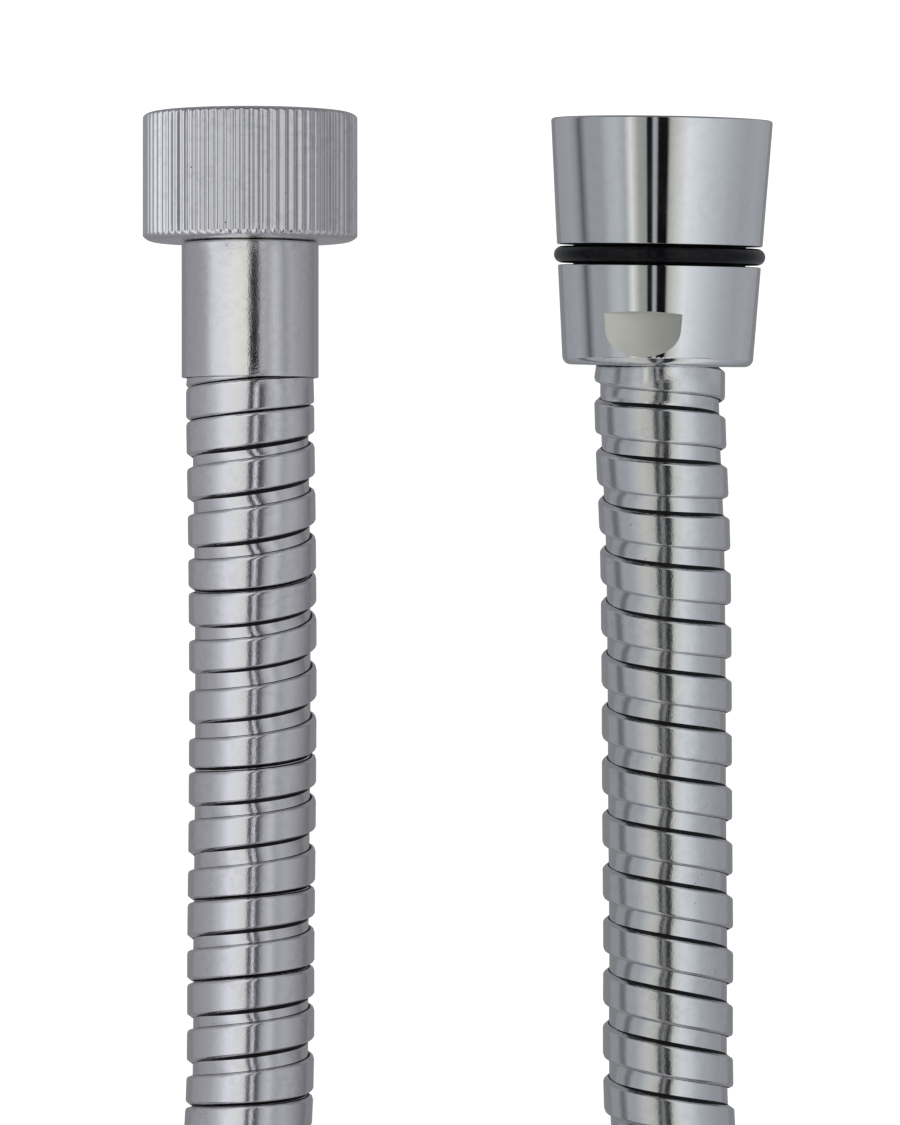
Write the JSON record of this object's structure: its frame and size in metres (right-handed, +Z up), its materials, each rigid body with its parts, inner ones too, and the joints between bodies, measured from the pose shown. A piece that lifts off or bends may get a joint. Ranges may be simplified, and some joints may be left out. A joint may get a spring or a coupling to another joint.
{
  "type": "metal shower hose",
  "caption": "Interlocked metal shower hose with a straight-knurled nut on one end, a conical nut with an O-ring and wrench flats on the other, coiled on the floor.",
  "frame": {"origin": "on the floor, under the middle of the two fittings' common box (the hose itself not counted)", "axes": "+X from the knurled end to the conical end, +Y out of the nuts' mouths, +Z up from the floor"},
  "size_m": [0.162, 0.2817, 0.028],
  "materials": {
    "satin_chrome": "satin chrome plate on brass",
    "polished_chrome": "polished chrome plate",
    "hose_chrome": "polished chrome strip, wound",
    "brass": "turned brass",
    "black_rubber": "smooth black rubber",
    "liner_rubber": "extruded rubber"
  },
  "bodies": {
    "hose": {"knurled_end_tail": "brass", "knurled_end_ferrule": "polished_chrome", "knurled_leg_armour": "hose_chrome", "knurled_leg_liner": "liner_rubber", "hose_coil": "hose_chrome", "conical_leg_armour": "hose_chrome", "conical_leg_liner": "liner_rubber", "conical_end_tail": "brass", "conical_end_ferrule": "polished_chrome"},
    "knurled_nut": {"knurled_nut": "satin_chrome", "knurled_end_washer": "black_rubber"},
    "conical_nut": {"conical_nut": "polished_chrome", "conical_nut_o_ring": "black_rubber", "conical_end_washer": "black_rubber"}
  },
  "joints": [
    {"name": "knurled_nut_swivel", "type": "hinge", "parent": "hose", "child": "knurled_nut", "pos_m": [-0.02227, 0.0142, 0.01153], "axis": [0, 1, 0], "continuous": true},
    {"name": "conical_nut_swivel", "type": "hinge", "parent": "hose", "child": "conical_nut", "pos_m": [0.0219, 0.0135, 0.0119], "axis": [0.0166, 0.9991, 0.0384], "continuous": true}
  ]
}
